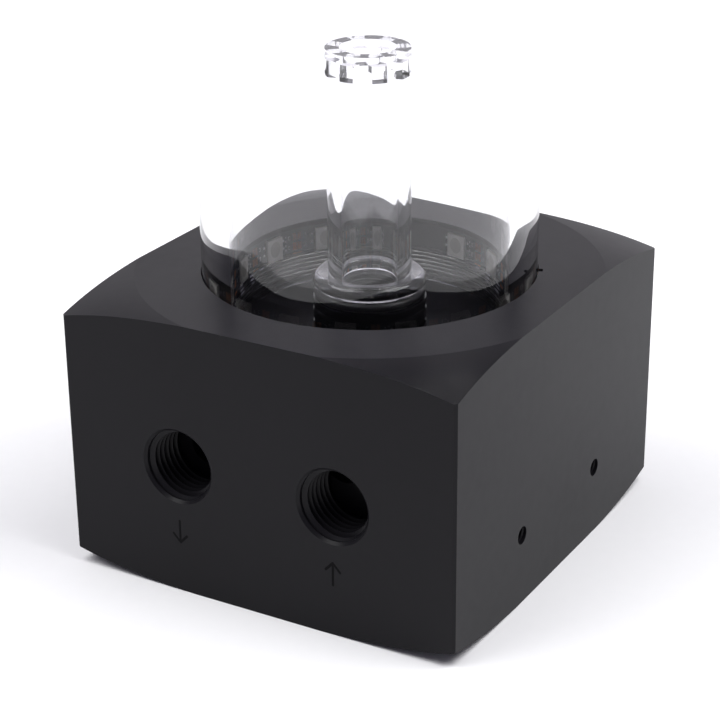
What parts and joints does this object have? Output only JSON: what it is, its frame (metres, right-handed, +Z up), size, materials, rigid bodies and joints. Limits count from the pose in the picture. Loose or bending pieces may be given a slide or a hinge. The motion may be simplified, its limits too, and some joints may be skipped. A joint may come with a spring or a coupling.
{
  "type": "coolant pump reservoir",
  "caption": "Clear tube reservoir between two black turned blocks, with a return tube and a lamp ring inside and a flat pump built into the base.",
  "frame": {"origin": "centre of the footprint at the base plane", "axes": "+Z up along the clear tube; the two coolant ports face -Y; the tapped fixing holes face +X"},
  "size_m": [0.077, 0.08, 0.2036],
  "materials": {
    "black_block": "satin machined acetal",
    "clear_tube": "clear cast acrylic, polished",
    "clear_riser": "clear acrylic, turned and polished",
    "black_socket": "turned, semi-gloss",
    "seal_rubber": "moulded, smooth",
    "strip_film": "black solder mask film",
    "lamp_body": "white lamp package",
    "plug_black": "satin black plated brass",
    "pump_plastic": "moulded, fine texture",
    "cover_plastic": "moulded, fine texture",
    "core_steel": "stamped laminations",
    "coil_copper": "enamelled copper wire",
    "board_green": "solder mask",
    "screw_steel": "bright zinc",
    "ceramic_white": "polished",
    "post_steel": "ground",
    "impeller_plastic": "moulded",
    "magnet_dark": "sintered",
    "cup_carbon": "carbon-filled"
  },
  "bodies": {
    "base": {"pump_block": "black_block", "reservoir_tube": "clear_tube", "tube_seal_lower": "seal_rubber", "tube_seal_upper": "seal_rubber", "top_cap": "black_block", "riser_socket": "black_socket", "riser_tube": "clear_riser", "riser_seal": "seal_rubber", "lamp_strip": "strip_film", "lamps": "lamp_body", "pump_body": "pump_plastic", "pump_seal": "seal_rubber", "stator_core": "core_steel", "stator_coils": "coil_copper", "drive_board": "board_green", "bottom_cover": "cover_plastic", "pump_screws": "screw_steel", "bearing_post": "post_steel", "bearing_ball": "ceramic_white", "cable_grommet": "seal_rubber"},
    "rotor": {"impeller": "impeller_plastic", "rotor_magnet": "magnet_dark", "bearing_cup": "cup_carbon"},
    "fill_seal": {"fill_plug_seal": "seal_rubber"},
    "fill_plug": {"fill_plug": "plug_black"},
    "vent_seal": {"vent_plug_seal": "seal_rubber"},
    "vent_plug": {"vent_plug": "plug_black"}
  },
  "joints": [
    {"name": "impeller_spin", "type": "hinge", "parent": "base", "child": "rotor", "pos_m": [0, 0, 0.0134], "axis": [0, 0, 1], "continuous": true},
    {"name": "fill_plug_lift", "type": "slide", "parent": "base", "child": "fill_seal", "axis": [0, 0, 1], "range_m": [0, 0.00535]},
    {"name": "fill_plug_turn", "type": "hinge", "parent": "fill_seal", "child": "fill_plug", "pos_m": [-0.017, 0, 0.2], "axis": [0, 0, 1], "range_deg": [0, 1441]},
    {"name": "vent_plug_lift", "type": "slide", "parent": "base", "child": "vent_seal", "axis": [0, 0, 1], "range_m": [0, 0.00535]},
    {"name": "vent_plug_turn", "type": "hinge", "parent": "vent_seal", "child": "vent_plug", "pos_m": [0.017, 0, 0.2], "axis": [0, 0, 1], "range_deg": [0, 1441]}
  ],
  "couplings": [
    {"joint": "fill_plug_turn", "follows": "fill_plug_lift", "rad_per_m": 4699.5},
    {"joint": "vent_plug_turn", "follows": "vent_plug_lift", "rad_per_m": 4699.5}
  ]
}
